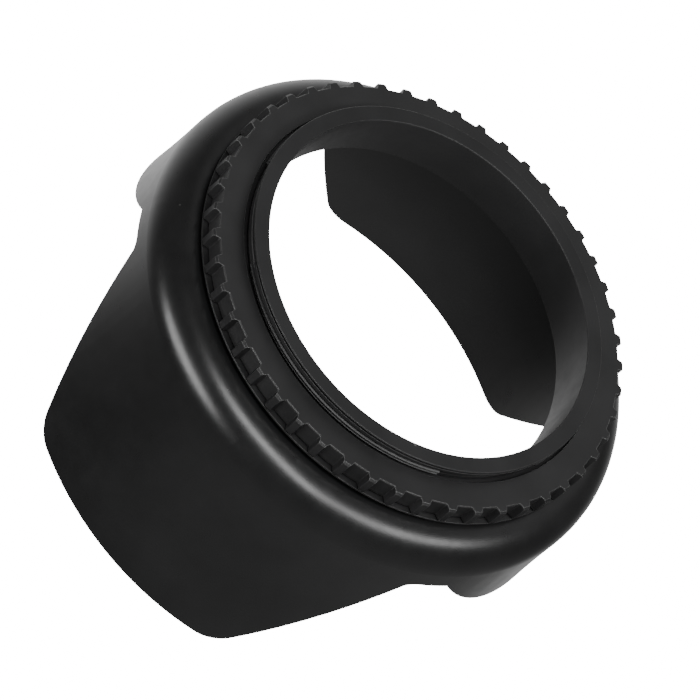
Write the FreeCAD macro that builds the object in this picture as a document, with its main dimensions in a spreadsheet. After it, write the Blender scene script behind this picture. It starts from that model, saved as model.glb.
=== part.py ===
import FreeCAD, Part
import os
import Sketcher

# Screw-in petal lens hood, in millimetres.
#
# The origin is the centre of the lock ring's rear face, where the lens rim comes to rest.
# +Z points back towards the lens.  The hood opens downwards, along -Z, and stands on the
# front edges of its two long petals.  The long petals lie on the X axis, the short ones
# on the Y axis.
#
# Three mouldings make the hood:
#   petal_shell   the petals, the rounded shoulder and the web that is clamped
#   mount_sleeve  the male filter thread, the neck in the web's bore, the trapped front flange
#   lock_ring     the ribbed ring on the neck, which clamps the web against the flange

DIMENSIONS = [
    # male filter thread and light path
    ("thread_major_radius", 31.0),
    ("thread_depth", 0.46),
    ("thread_pitch", 0.75),
    ("thread_crest", 0.1),
    ("thread_root", 0.12),
    ("thread_first_groove", -0.325),
    ("thread_length", 1.8),
    ("thread_cut_overrun", 0.2),
    ("thread_turn", 180.0),
    ("thread_segments", 3.0),
    ("thread_segment_angle", 84.0),
    ("thread_segment_middle", 64.0),
    ("flat_top", 1.2),
    ("flat_depth", 0.42),
    ("relief_top", 2.06),
    ("relief_bottom", 1.7),
    ("relief_depth", 0.8),
    ("lip_height", 2.27),
    ("lip_edge", 0.1),
    ("lip_foot_drop", 0.05),
    ("lip_foot_radius", 30.25),
    ("gap_depth", 0.9),
    ("bore_radius", 28.42),
    # neck and trapped flange of the sleeve
    ("neck_radius", 31.7),
    ("running_clearance", 0.08),
    ("axial_clearance", 0.04),
    ("flange_radius", 34.5),
    ("flange_thickness", 1.0),
    ("bore_rim", 6.4),
    ("bore_relief", 2.3),
    # lock ring
    ("ring_radius", 35.63),
    ("ring_height", 3.95),
    ("ring_boss_radius", 34.15),
    ("ring_edge", 0.12),
    ("ring_lip_radius", 31.42),
    ("ring_lip_thickness", 0.75),
    ("rib_count", 49.0),
    ("rib_phase", 5.7),
    ("rib_height", 0.99),
    ("rib_length", 3.35),
    ("rib_tip_width", 1.05),
    ("rib_foot_width", 2.1),
    ("rib_chamfer", 0.3),
    ("rib_embed", 0.3),
    ("chamfer_overrun", 0.5),
    ("rim_disc_radius", 36.52),
    ("rim_disc_thickness", 0.3),
    ("rim_groove_radius", 35.15),
    # shell
    ("wall", 1.68),
    ("shoulder_top", 5.02),
    ("shoulder_radius", 5.59),
    ("shell_radius", 41.95),
    ("hood_length", 42.64),
    ("front_radius", 44.42),
    ("notch_depth", 13.92),
    ("notch_ease", 1.28),
    ("notch_ease_radius", 1.48),
    ("petal_root_half_width", 32.03),
    ("petal_side_radius", 118.4),
    ("petal_corner_half_width", 22.04),
    ("petal_corner_rise", 2.55),
    ("petal_corner_radius", 4.94),
    ("petal_tip_half_width", 17.72),
    ("lobe_tip_depth", 23.59),
    ("lobe_half_width", 21.12),
    ("lobe_radius", 27.73),
    ("lobe_cut_margin", 3.2),
    ("side_cut_margin", 3.0),
    ("side_cut_overrun", 5.0),
]

# The least change of volume, in cubic millimetres, that counts as a feature having worked.
LEAST_CHANGE = 0.01


def make_sheet(doc):
    sheet = doc.addObject("Spreadsheet::Sheet", "sizes")
    for row, (alias, value) in enumerate(DIMENSIONS, start=1):
        sheet.set(f"A{row}", alias)
        sheet.set(f"B{row}", str(value))
        sheet.setAlias(f"B{row}", alias)
    doc.recompute()
    return sheet


def bound(expression):
    """The expression with every alias read from the sheet."""
    words = []
    for word in expression.split():
        words.append(f"sizes.{word}" if word[0].isalpha() and not word.endswith("(") else word)
    return " ".join(words)


def origin_plane(body, role):
    for feature in body.Origin.OriginFeatures:
        if feature.Role == role:
            return feature
    raise ValueError(role)


def new_body(doc, name):
    body = doc.addObject("PartDesign::Body", name)
    body.Label = name
    body.Placement = FreeCAD.Placement()
    return body


def add_sketch(body, name, role):
    sketch = body.newObject("Sketcher::SketchObject", name)
    sketch.AttachmentSupport = [(origin_plane(body, role), "")]
    sketch.MapMode = "FlatFace"
    return sketch


def value_of(sketch, expression):
    return float(sketch.evalExpression(bound(expression)))


def pin_point(sketch, line, end, axis, expression):
    """Hold one end of a sketch line at a distance from the sketch origin."""
    kind = "DistanceX" if axis == 0 else "DistanceY"
    amount = value_of(sketch, expression)
    index = sketch.addConstraint(Sketcher.Constraint(kind, -1, 1, line, end, amount))
    sketch.setExpression(f"Constraints[{index}]", bound(expression))


def arc_between(start, end, radius, turn):
    """A circular arc from start to end; turn is +1 when it bulges to the left of the way."""
    a, b = FreeCAD.Vector(*start, 0), FreeCAD.Vector(*end, 0)
    chord = b - a
    half = chord.Length / 2
    side = FreeCAD.Vector(-chord.y, chord.x, 0).normalize()
    rise = radius - (radius * radius - half * half) ** 0.5
    middle = (a + b) * 0.5 + side * (rise * turn)
    return Part.Arc(a, middle, b)


def draw_outline(sketch, corners, arcs=None):
    """A closed outline through corners, each (x, y) as expressions.

    arcs maps the number of an edge to (radius expression, turn); other edges are straight.
    """
    arcs = arcs or {}
    count = len(corners)
    first = sketch.GeometryCount
    points = [(value_of(sketch, x), value_of(sketch, y)) for x, y in corners]
    for edge in range(count):
        start, end = points[edge], points[(edge + 1) % count]
        if edge in arcs:
            radius, turn = arcs[edge]
            sketch.addGeometry(arc_between(start, end, value_of(sketch, radius), turn), False)
        else:
            ends = FreeCAD.Vector(*start, 0), FreeCAD.Vector(*end, 0)
            sketch.addGeometry(Part.LineSegment(*ends), False)

    def end_near(edge, point):
        """Which end of an edge lies at point: an arc's ends follow its own sense."""
        here = sketch.getPoint(first + edge, 1)
        gap = (here.x - point[0]) ** 2 + (here.y - point[1]) ** 2
        there = sketch.getPoint(first + edge, 2)
        other = (there.x - point[0]) ** 2 + (there.y - point[1]) ** 2
        return 1 if gap <= other else 2

    for edge in range(count):
        following = (edge + 1) % count
        joint = points[following]
        ends = (first + edge, end_near(edge, joint), first + following, end_near(following, joint))
        sketch.addConstraint(Sketcher.Constraint("Coincident", *ends))
    for edge, (x, y) in enumerate(corners):
        end = end_near(edge, points[edge])
        pin_point(sketch, first + edge, end, 0, x)
        pin_point(sketch, first + edge, end, 1, y)
    for edge, (radius, _) in arcs.items():
        amount = value_of(sketch, radius)
        index = sketch.addConstraint(Sketcher.Constraint("Radius", first + edge, amount))
        sketch.setExpression(f"Constraints[{index}]", bound(radius))


def revolve(body, name, corners, arcs=None, cut=False):
    """Turn an outline in the XZ plane a full circle about Z, to add or to cut."""
    sketch = add_sketch(body, name + "_outline", "XZ_Plane")
    draw_outline(sketch, corners, arcs)
    kind = "PartDesign::Groove" if cut else "PartDesign::Revolution"
    turned = body.newObject(kind, name)
    turned.Profile = sketch
    turned.ReferenceAxis = (sketch, ["V_Axis"])
    turned.Angle = 360.0


def pocket_through(body, name, role, outlines):
    """Cut outlines drawn on an origin plane right through the body, both ways."""
    sketch = add_sketch(body, name + "_outline", role)
    for corners, arcs in outlines:
        draw_outline(sketch, corners, arcs)
    pocket = body.newObject("PartDesign::Pocket", name)
    pocket.Profile = sketch
    pocket.Type = "Length"
    pocket.Midplane = True
    pocket.setExpression("Length", bound("front_radius * 3"))


def polar_pattern(body, name, feature, axis, count):
    pattern = body.newObject("PartDesign::PolarPattern", name)
    pattern.Originals = [feature]
    pattern.Axis = axis
    pattern.Angle = 360.0
    pattern.setExpression("Occurrences", bound(count))
    body.Tip = pattern


def must_shrink(doc, body, before, what):
    doc.recompute()
    after = body.Shape.Volume
    if after >= before - LEAST_CHANGE:
        raise RuntimeError(f"{what} cuts nothing")
    return after


def must_grow(doc, body, before, what):
    doc.recompute()
    after = body.Shape.Volume
    if after <= before + LEAST_CHANGE:
        raise RuntimeError(f"{what} adds nothing")
    return after


# --- petal shell -------------------------------------------------------------

def shell_wall(body):
    """The turned blank: clamped web, rounded shoulder and a barrel that flares to the front."""
    web_bore = "neck_radius + running_clearance"
    crown = "shell_radius - shoulder_radius"
    waist = "-1 * shoulder_top - shoulder_radius"
    corners = [
        (web_bore, "-1 * shoulder_top"),
        (crown, "-1 * shoulder_top"),
        ("shell_radius", waist),
        ("front_radius", "-1 * hood_length"),
        ("front_radius - wall", "-1 * hood_length"),
        ("shell_radius - wall", waist),
        (crown, "-1 * shoulder_top - wall"),
        (web_bore, "-1 * shoulder_top - wall"),
    ]
    drop = "hood_length - shoulder_top - shoulder_radius"
    flare = "front_radius - shell_radius"
    flare_radius = f"( ( {drop} ) * ( {drop} ) + ( {flare} ) * ( {flare} ) ) / ( 2 * ( {flare} ) )"
    arcs = {
        1: ("shoulder_radius", 1),
        2: (flare_radius, -1),
        4: (flare_radius, 1),
        5: ("shoulder_radius - wall", -1),
    }
    revolve(body, "shell_blank", corners, arcs)


def long_petal_side(side):
    """The waste on one side of the long petals, seen along X; side is '' for +Y or '-1 * '."""
    below = "-1 * hood_length - wall"
    step = "-1 * lobe_tip_depth"
    tip = f"{side}petal_tip_half_width"
    inner = f"{side}( petal_root_half_width + side_cut_margin )"
    outer = f"{side}( front_radius + side_cut_overrun )"
    corners = [
        (f"{side}( petal_root_half_width + notch_ease )", "-1 * notch_depth"),
        (f"{side}petal_root_half_width", "-1 * notch_depth - notch_ease"),
        (f"{side}petal_corner_half_width", "petal_corner_rise - hood_length"),
        (tip, "-1 * hood_length"),
        (tip, below),
        (outer, below),
        (outer, step),
        (inner, step),
        (inner, "-1 * notch_depth"),
    ]
    turn = 1 if side == "" else -1
    arcs = {
        0: ("notch_ease_radius", -turn),
        1: ("petal_side_radius", turn),
        2: ("petal_corner_radius", turn),
    }
    return corners, arcs


def short_petal_waste():
    """Everything in front of the two short petals, seen along Y: a round-ended lobe is left."""
    below = "-1 * hood_length - wall"
    level = "-1 * notch_depth"
    margin = "lobe_half_width + lobe_cut_margin"
    corners = [
        ("-1 * lobe_half_width", level),
        ("lobe_half_width", level),
        (margin, level),
        (margin, below),
        (f"-1 * ( {margin} )", below),
        (f"-1 * ( {margin} )", level),
    ]
    return corners, {0: ("lobe_radius", -1)}


def make_petal_shell(doc, sizes):
    body = new_body(doc, "petal_shell")
    shell_wall(body)
    volume = must_grow(doc, body, 0, "shell blank")
    pocket_through(body, "long_petal_sides", "YZ_Plane", [long_petal_side(""), long_petal_side("-1 * ")])
    volume = must_shrink(doc, body, volume, "long petal cut")
    pocket_through(body, "short_petal_ends", "XZ_Plane", [short_petal_waste()])
    must_shrink(doc, body, volume, "short petal cut")
    return body


# --- mount sleeve ------------------------------------------------------------

def sleeve_blank(body):
    """Lip with a relief under its rim, neck, front flange and the bore for the light path."""
    flange_rear = "-1 * shoulder_top - wall - axial_clearance"
    flange_front = f"{flange_rear} - flange_thickness"
    corners = [
        ("bore_radius", "lip_height - lip_edge"),
        ("bore_radius + lip_edge", "lip_height"),
        ("thread_major_radius - lip_edge", "lip_height"),
        ("thread_major_radius", "lip_height - lip_edge"),
        ("thread_major_radius", "relief_top"),
        ("thread_major_radius - relief_depth", "relief_top"),
        ("thread_major_radius - relief_depth", "relief_bottom"),
        ("thread_major_radius", "relief_bottom"),
        ("thread_major_radius", "-1 * lip_foot_drop"),
        ("lip_foot_radius", "-1 * gap_depth"),
        ("neck_radius", "-1 * gap_depth"),
        ("neck_radius", flange_rear),
        ("flange_radius", flange_rear),
        ("flange_radius", flange_front),
        ("bore_radius + bore_relief", flange_front),
        ("bore_radius", "-1 * bore_rim"),
    ]
    revolve(body, "sleeve_blank", corners)


def thread_groove(body):
    """One continuous right-hand helical groove, which leaves the crests at the major radius."""
    sketch = add_sketch(body, "thread_groove_outline", "XZ_Plane")
    half_mouth = "( thread_pitch - thread_crest ) / 2"
    half_root = "thread_root / 2"
    floor = "thread_major_radius - thread_depth"
    outside = "thread_major_radius + thread_cut_overrun"
    start = "thread_first_groove"
    flank = f"( {half_mouth} - {half_root} ) / thread_depth"
    spread = f"{half_mouth} + thread_cut_overrun * {flank}"
    corners = [
        (floor, f"{start} - {half_root}"),
        (outside, f"{start} - ( {spread} )"),
        (outside, f"{start} + {spread}"),
        (floor, f"{start} + {half_root}"),
    ]
    draw_outline(sketch, corners)
    helix = body.newObject("PartDesign::SubtractiveHelix", "thread_groove")
    helix.Profile = sketch
    helix.ReferenceAxis = (sketch, ["V_Axis"])
    helix.Mode = 0
    helix.setExpression("Pitch", bound("thread_pitch"))
    helix.setExpression("Height", bound("thread_length"))
    helix.LeftHanded = False
    helix.Reversed = False


def turn_about_z(body, angle):
    rotation = FreeCAD.Rotation(FreeCAD.Vector(0, 0, 1), angle)
    body.Placement = FreeCAD.Placement(FreeCAD.Vector(0, 0, 0), rotation)


def ray(radius, angle):
    turn = FreeCAD.Rotation(FreeCAD.Vector(0, 0, 1), angle)
    return turn.multVec(FreeCAD.Vector(radius, 0, 0))


def draw_sector(sketch, inner, outer, start, end):
    """An annular sector between two radii and two angles in degrees."""
    middle = (start + end) / 2
    arcs = [Part.Arc(ray(r, start), ray(r, middle), ray(r, end)) for r in (inner, outer)]
    sides = [Part.LineSegment(ray(inner, angle), ray(outer, angle)) for angle in (start, end)]
    sketch.addGeometry(arcs + sides, False)


def thread_flats(body, sizes):
    """The stretches between the full threads, where the crests are cut back."""
    sketch = add_sketch(body, "thread_flats_outline", "XY_Plane")
    sketch.setExpression(".AttachmentOffset.Base.z", bound("-1 * gap_depth"))
    segments = int(sizes["thread_segments"])
    floor = sizes["thread_major_radius"] - sizes["flat_depth"]
    outside = sizes["thread_major_radius"] + sizes["thread_depth"]
    for segment in range(segments):
        middle = sizes["thread_segment_middle"] + 360.0 * segment / segments
        start = middle + sizes["thread_segment_angle"] / 2
        end = middle + 360.0 / segments - sizes["thread_segment_angle"] / 2
        draw_sector(sketch, floor, outside, start, end)
    pocket = body.newObject("PartDesign::Pocket", "thread_flats")
    pocket.Profile = sketch
    pocket.Type = "Length"
    pocket.Reversed = True
    pocket.setExpression("Length", bound("gap_depth + flat_top"))


def make_mount_sleeve(doc, sizes):
    body = new_body(doc, "mount_sleeve")
    sleeve_blank(body)
    volume = must_grow(doc, body, 0, "sleeve blank")
    thread_flats(body, sizes)
    volume = must_shrink(doc, body, volume, "thread flats")
    thread_groove(body)
    must_shrink(doc, body, volume, "thread groove")
    turn_about_z(body, sizes["thread_turn"])
    return body


# --- lock ring ---------------------------------------------------------------

def ring_blank(body):
    """Rear face that closes in over the neck, rim with a thin disc, boss that presses on the web."""
    bore = "neck_radius + running_clearance"
    boss_front = "-1 * shoulder_top + axial_clearance"
    disc_rear = "-1 * ring_height + rim_disc_thickness"
    corners = [
        ("ring_lip_radius + ring_edge", "0 * wall"),
        ("ring_radius - ring_edge", "0 * wall"),
        ("ring_radius", "-1 * ring_edge"),
        ("ring_radius", "-1 * rib_length"),
        ("rim_groove_radius", "-1 * rib_length"),
        ("rim_groove_radius", disc_rear),
        ("rim_disc_radius", disc_rear),
        ("rim_disc_radius", "-1 * ring_height"),
        ("ring_boss_radius", "-1 * ring_height"),
        ("ring_boss_radius", boss_front),
        (bore, boss_front),
        (bore, "-1 * ring_lip_thickness"),
        ("ring_lip_radius + ring_edge / 2", "-1 * ring_lip_thickness"),
        ("ring_lip_radius", "-1 * ring_edge"),
    ]
    revolve(body, "ring_blank", corners)


def grip_rib(body):
    """One straight rib, narrower at its tip, along the rim from the rear face."""
    sketch = add_sketch(body, "grip_rib_outline", "XY_Plane")
    foot = "ring_radius - rib_embed"
    tip = "ring_radius + rib_height"
    corners = [
        (foot, "-1 * rib_foot_width / 2"),
        (tip, "-1 * rib_tip_width / 2"),
        (tip, "rib_tip_width / 2"),
        (foot, "rib_foot_width / 2"),
    ]
    draw_outline(sketch, corners)
    pad = body.newObject("PartDesign::Pad", "grip_rib")
    pad.Profile = sketch
    pad.setExpression("Length", bound("rib_length"))
    pad.Reversed = True
    return pad


def rib_chamfer(body):
    """Bevel the rear end of every rib in one turned cut."""
    tip = "ring_radius + rib_height"
    corners = [
        (f"{tip} - rib_chamfer", "0 * wall"),
        (f"{tip} + chamfer_overrun", "0 * wall"),
        (f"{tip} + chamfer_overrun", "-1 * rib_chamfer"),
        (tip, "-1 * rib_chamfer"),
    ]
    revolve(body, "rib_chamfer", corners, cut=True)


def make_lock_ring(doc, sizes):
    body = new_body(doc, "lock_ring")
    ring_blank(body)
    volume = must_grow(doc, body, 0, "ring blank")
    rib = grip_rib(body)
    volume = must_grow(doc, body, volume, "grip rib")
    polar_pattern(body, "grip_ribs", rib, (rib.Profile[0], ["N_Axis"]), "rib_count")
    volume = must_grow(doc, body, volume, "rib pattern")
    rib_chamfer(body)
    must_shrink(doc, body, volume, "rib chamfer")
    turn_about_z(body, sizes["rib_phase"])
    return body


# --- document ----------------------------------------------------------------

def check_states(doc):
    for item in doc.Objects:
        if {"Invalid", "Error"} & set(item.State):
            raise RuntimeError(f"{item.Label} is {item.State}")


def check_shape(body):
    shape = body.Shape
    if shape.isNull() or not shape.isValid() or len(shape.Solids) != 1:
        raise RuntimeError(f"{body.Label} has no single valid solid")


def main():
    doc = FreeCAD.newDocument("petal_lens_hood")
    sheet = make_sheet(doc)
    sizes = {alias: float(sheet.get(alias)) for alias, _ in DIMENSIONS}
    bodies = [make(doc, sizes) for make in (make_petal_shell, make_mount_sleeve, make_lock_ring)]
    doc.recompute()
    check_states(doc)
    os.makedirs("parts", exist_ok=True)
    for body in bodies:
        check_shape(body)
        body.Shape.exportStep(f"parts/{body.Label}.step")
        print(f"{body.Label}: volume {body.Shape.Volume:.0f} mm3")


main()
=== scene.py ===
import math

import bmesh
import bpy
from mathutils import Matrix, Vector


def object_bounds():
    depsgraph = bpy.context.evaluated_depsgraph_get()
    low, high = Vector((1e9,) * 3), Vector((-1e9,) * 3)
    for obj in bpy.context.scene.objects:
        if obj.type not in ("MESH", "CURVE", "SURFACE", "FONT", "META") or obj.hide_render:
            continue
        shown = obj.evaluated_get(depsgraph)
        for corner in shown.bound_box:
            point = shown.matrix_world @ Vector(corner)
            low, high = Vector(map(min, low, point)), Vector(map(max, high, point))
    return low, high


MM = 0.001
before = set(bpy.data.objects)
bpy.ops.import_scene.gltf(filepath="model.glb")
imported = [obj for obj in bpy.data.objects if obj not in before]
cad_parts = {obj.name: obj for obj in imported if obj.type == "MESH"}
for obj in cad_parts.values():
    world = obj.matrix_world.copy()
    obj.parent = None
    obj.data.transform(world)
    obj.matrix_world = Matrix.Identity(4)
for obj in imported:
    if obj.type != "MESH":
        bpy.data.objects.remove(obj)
cad_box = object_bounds()

# The camera stands in a direction CAMERA_TILT off the thread's axis and CAMERA_TURN about it.
# It looks at AIM and is rolled by CAMERA_ROLL about its own line of sight.
CAMERA_TILT = math.radians(44.988)
CAMERA_TURN = math.radians(1.4)
CAMERA_ROLL = math.radians(49.921)
CAMERA_DISTANCE = 767.6 * MM
AIM = Vector((19.327, -0.118, 0)) * MM
LENS = 262.3

# Plastics.  Lengths with MM are in metres; noise scales are in cells per metre.
EDGE_TURNED = (0.99, 0.8)          # cosine of the rounded edge's turn: no rub or painted highlight, full rub and painted highlight
EXPOSED = (-1.2 * MM, -0.2 * MM)   # edges below and above these heights get little and full rub and painted highlight
# share of the rub and painted edge highlight left on the lower edges
SHELTERED_WEAR_AND_HIGHLIGHT = 0.15
WEAR_SHINE = 0.1                   # how much a rubbed edge loses in roughness
# lighter grey on turned edges: partly rub wear, partly a painted highlight
RUBBED_AND_HIGHLIGHT_GREY = (0.15, 0.15, 0.15, 1)
DUST_GREY = (0.25, 0.25, 0.24, 1)

FLOOR_SIZE = 4
FLOOR_GAP = 0.5 * MM
FLOOR_GLOW = 16
TENT_LIGHT = 0.07
SOFTBOX_DISTANCE = 0.7


# ---------------------------------------------------------------- materials

def new_material(name):
    material = bpy.data.materials.new(name)
    material.use_nodes = True
    nodes = material.node_tree.nodes
    return material, nodes, material.node_tree.links, nodes["Principled BSDF"]


def noise(nodes, links, coords, scale, detail=3.0, roughness=0.5):
    texture = nodes.new("ShaderNodeTexNoise")
    texture.inputs["Scale"].default_value = scale
    texture.inputs["Detail"].default_value = detail
    texture.inputs["Roughness"].default_value = roughness
    links.new(coords.outputs["Object"], texture.inputs["Vector"])
    return texture.outputs["Fac"]


def map_range(nodes, links, value, low, high, to_low, to_high, smooth=False):
    node = nodes.new("ShaderNodeMapRange")
    if smooth:
        node.interpolation_type = "SMOOTHSTEP"
    node.inputs["From Min"].default_value = low
    node.inputs["From Max"].default_value = high
    node.inputs["To Min"].default_value = to_low
    node.inputs["To Max"].default_value = to_high
    links.new(value, node.inputs["Value"])
    return node.outputs["Result"]


def math_node(nodes, links, operation, a, b):
    node = nodes.new("ShaderNodeMath")
    node.operation = operation
    for socket, value in zip(node.inputs, (a, b)):
        if isinstance(value, (int, float)):
            socket.default_value = value
        else:
            links.new(value, socket)
    return node.outputs["Value"]


def mix_colour(nodes, links, factor, below, above):
    """Colour that runs from below to above; below is a colour or another node's output."""
    mix = nodes.new("ShaderNodeMix")
    mix.data_type = "RGBA"
    mix.inputs["B"].default_value = above
    if isinstance(below, tuple):
        mix.inputs["A"].default_value = below
    else:
        links.new(below, mix.inputs["A"])
    links.new(factor, mix.inputs["Factor"])
    return mix.outputs["Result"]


def grey(value):
    return (value, value, value * 1.02, 1)


def rubbed_and_highlighted_edges(nodes, links, coords, rounded, wear_and_highlight):
    """How far the surface is rubbed and lightened with a painted edge highlight: most at turned edges
    near the rear.
    """
    geometry = nodes.new("ShaderNodeNewGeometry")
    agree = nodes.new("ShaderNodeVectorMath")
    agree.operation = "DOT_PRODUCT"
    links.new(rounded.outputs["Normal"], agree.inputs[0])
    links.new(geometry.outputs["Normal"], agree.inputs[1])
    turned = map_range(nodes, links, agree.outputs["Value"], *EDGE_TURNED, 0, wear_and_highlight)
    height = nodes.new("ShaderNodeSeparateXYZ")
    links.new(coords.outputs["Object"], height.inputs["Vector"])
    exposed = map_range(nodes, links, height.outputs["Z"], *EXPOSED, SHELTERED_WEAR_AND_HIGHLIGHT, 1)
    return math_node(nodes, links, "MULTIPLY", turned, exposed)


def dust_specks(nodes, links, coords):
    specks = nodes.new("ShaderNodeTexVoronoi")
    specks.inputs["Scale"].default_value = 160
    links.new(coords.outputs["Object"], specks.inputs["Vector"])
    near = map_range(nodes, links, specks.outputs["Distance"], 0.03, 0.045, 1, 0)
    rare = map_range(nodes, links, noise(nodes, links, coords, 260, 1), 0.63, 0.66, 0, 0.5)
    return math_node(nodes, links, "MULTIPLY", near, rare)


def moulded_black(name, dark, pale, gloss, shine, grain, wear_and_highlight, edge_radius):
    """Injection-moulded black plastic: grain, uneven polish, rubbed edges with a painted highlight,
    and a few specks of dust.

    dark, pale: the greys that the colour drifts between
    gloss: the smoothest and the roughest polish
    shine: the share of light that the surface mirrors
    grain: noise scale and depth
    wear_and_highlight, edge_radius: how far edges are rubbed and lightened with a painted highlight,
    and how far they are rounded"""
    material, nodes, links, shader = new_material(name)
    coords = nodes.new("ShaderNodeTexCoord")
    rounded = nodes.new("ShaderNodeBevel")
    rounded.samples = 6
    rounded.inputs["Radius"].default_value = edge_radius
    edge_wear_and_highlight = rubbed_and_highlighted_edges(nodes, links, coords, rounded, wear_and_highlight)

    drift = noise(nodes, links, coords, 90, 4)
    tone = map_range(nodes, links, drift, 0.35, 0.65, 0, 1)
    colour = mix_colour(nodes, links, tone, grey(dark), grey(pale))
    # turned edges lightened towards grey: rub wear plus a painted edge highlight
    colour = mix_colour(nodes, links, edge_wear_and_highlight, colour, RUBBED_AND_HIGHLIGHT_GREY)
    dusty = mix_colour(nodes, links, dust_specks(nodes, links, coords), colour, DUST_GREY)
    links.new(dusty, shader.inputs["Base Color"])

    scuffs = noise(nodes, links, coords, 420, 5, 0.65)
    polish = map_range(nodes, links, scuffs, 0.3, 0.7, *gloss)
    rubbed_smooth = math_node(nodes, links, "MULTIPLY", edge_wear_and_highlight, WEAR_SHINE)
    roughness = math_node(nodes, links, "SUBTRACT", polish, rubbed_smooth)
    links.new(roughness, shader.inputs["Roughness"])
    shader.inputs["Specular IOR Level"].default_value = shine

    scale, depth = grain
    bump = nodes.new("ShaderNodeBump")
    bump.inputs["Distance"].default_value = depth
    bump.inputs["Strength"].default_value = 1
    links.new(noise(nodes, links, coords, scale, 2, 0.6), bump.inputs["Height"])
    links.new(rounded.outputs["Normal"], bump.inputs["Normal"])
    links.new(bump.outputs["Normal"], shader.inputs["Normal"])
    return material


MATERIALS = {
    "petal_shell": moulded_black(
        "black_satin_shell", dark=0.008, pale=0.012, gloss=(0.27, 0.33), shine=0.5,
        grain=(5200, 0.004 * MM), wear_and_highlight=0.2, edge_radius=0.3 * MM),
    "lock_ring": moulded_black(
        "black_grained_ring", dark=0.011, pale=0.017, gloss=(0.34, 0.44), shine=0.5,
        grain=(4200, 0.010 * MM), wear_and_highlight=1.0, edge_radius=0.16 * MM),
    "mount_sleeve": moulded_black(
        "black_matt_sleeve", dark=0.014, pale=0.020, gloss=(0.36, 0.44), shine=0.33,
        grain=(5000, 0.007 * MM), wear_and_highlight=0.5, edge_radius=0.12 * MM),
}


# ---------------------------------------------------------------- pieces

def dress(name):
    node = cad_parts[name]
    node.data.materials.clear()
    node.data.materials.append(MATERIALS[name])


for name in MATERIALS:
    dress(name)


# ---------------------------------------------------------------- camera

def camera_axes():
    """(place, right, up, back) of the camera, in the part's frame."""
    turn = Matrix.Rotation(CAMERA_TURN, 3, "Z")
    place = turn @ Vector((math.sin(CAMERA_TILT), 0, math.cos(CAMERA_TILT))) * CAMERA_DISTANCE
    look = (AIM - place).normalized()
    level = look.cross(Vector((0, 0, 1))).normalized()
    above = level.cross(look)
    right = math.cos(CAMERA_ROLL) * level + math.sin(CAMERA_ROLL) * above
    up = -math.sin(CAMERA_ROLL) * level + math.cos(CAMERA_ROLL) * above
    return place, right, up, -look


place, right, up, back = camera_axes()
camera_data = bpy.data.cameras.new("camera")
camera_data.lens = LENS
camera_data.sensor_width = 36
camera_data.clip_start, camera_data.clip_end = 0.01, 20
camera = bpy.data.objects.new("camera", camera_data)
rotation = Matrix((right, up, back)).transposed()
camera.matrix_world = Matrix.Translation(place) @ rotation.to_4x4()
bpy.context.scene.collection.objects.link(camera)
bpy.context.scene.camera = camera


# ---------------------------------------------------------------- floor and light

def pale_floor():
    """A glowing white table top under the petals' front edges, seen but not reflected."""
    mesh = bpy.data.meshes.new("floor")
    plate = bmesh.new()
    bmesh.ops.create_grid(plate, x_segments=8, y_segments=8, size=FLOOR_SIZE)
    plate.to_mesh(mesh)
    plate.free()
    floor = bpy.data.objects.new("floor", mesh)
    floor.location.z = cad_box[0].z - FLOOR_GAP
    material, _, _, shader = new_material("pale_floor")
    shader.inputs["Base Color"].default_value = (0.8, 0.8, 0.8, 1)
    shader.inputs["Emission Color"].default_value = (1, 1, 1, 1)
    shader.inputs["Emission Strength"].default_value = FLOOR_GLOW
    mesh.materials.append(material)
    bpy.context.scene.collection.objects.link(floor)
    floor.visible_glossy = False
    floor.visible_diffuse = False


def light_tent():
    """Dim cloth all round, brighter in three directions; low and high are cosines off each one."""
    world = bpy.data.worlds.new("light_tent")
    world.use_nodes = True
    nodes, links = world.node_tree.nodes, world.node_tree.links
    coords = nodes.new("ShaderNodeTexCoord")
    total = TENT_LIGHT
    beyond_left = Vector((-0.75, -0.45, -0.5))
    under_petal = Vector((0.35, 0.6, -0.72))
    ring_side = Vector((-0.69, 0, 0.72))
    for direction, low, high, gain in (
        (beyond_left, 0.4, 1.0, 1.25),
        (under_petal, 0.2, 1.0, 0.22),
        (ring_side, 0.8, 1.0, 0.38),
    ):
        dot = nodes.new("ShaderNodeVectorMath")
        dot.operation = "DOT_PRODUCT"
        links.new(coords.outputs["Generated"], dot.inputs[0])
        dot.inputs[1].default_value = direction
        share = map_range(nodes, links, dot.outputs["Value"], low, high, 0, gain, smooth=True)
        total = math_node(nodes, links, "ADD", share, total)
    links.new(total, nodes["Background"].inputs["Strength"])
    nodes["Background"].inputs["Color"].default_value = (1, 1, 1, 1)
    bpy.context.scene.world = world


def softbox(name, towards, along, size, power):
    """An area light in direction towards, its long side along the given way, unseen by the camera."""
    data = bpy.data.lights.new(name, "AREA")
    data.shape = "RECTANGLE"
    data.size, data.size_y = size
    data.energy = power
    light = bpy.data.objects.new(name, data)
    z = Vector(towards).normalized()
    y = z.cross(Vector(along)).normalized()
    x = y.cross(z)
    rotation = Matrix((x, y, z)).transposed()
    light.matrix_world = Matrix.Translation(z * SOFTBOX_DISTANCE) @ rotation.to_4x4()
    light.visible_camera = False
    bpy.context.scene.collection.objects.link(light)


pale_floor()
light_tent()
softbox("over_the_ring", (0.42, 0.10, 0.90), (0, 1, -0.2), (0.50, 0.19), 3.8)
softbox("beyond_the_ring", (0.0, 0.61, 0.79), (-0.5, 0.1, -0.2), (0.45, 0.18), 2.7)
softbox("beside_the_shell", (0.8, -0.55, 0.04), (0.5, 0.8, 0.3), (0.5, 0.22), 4.0)
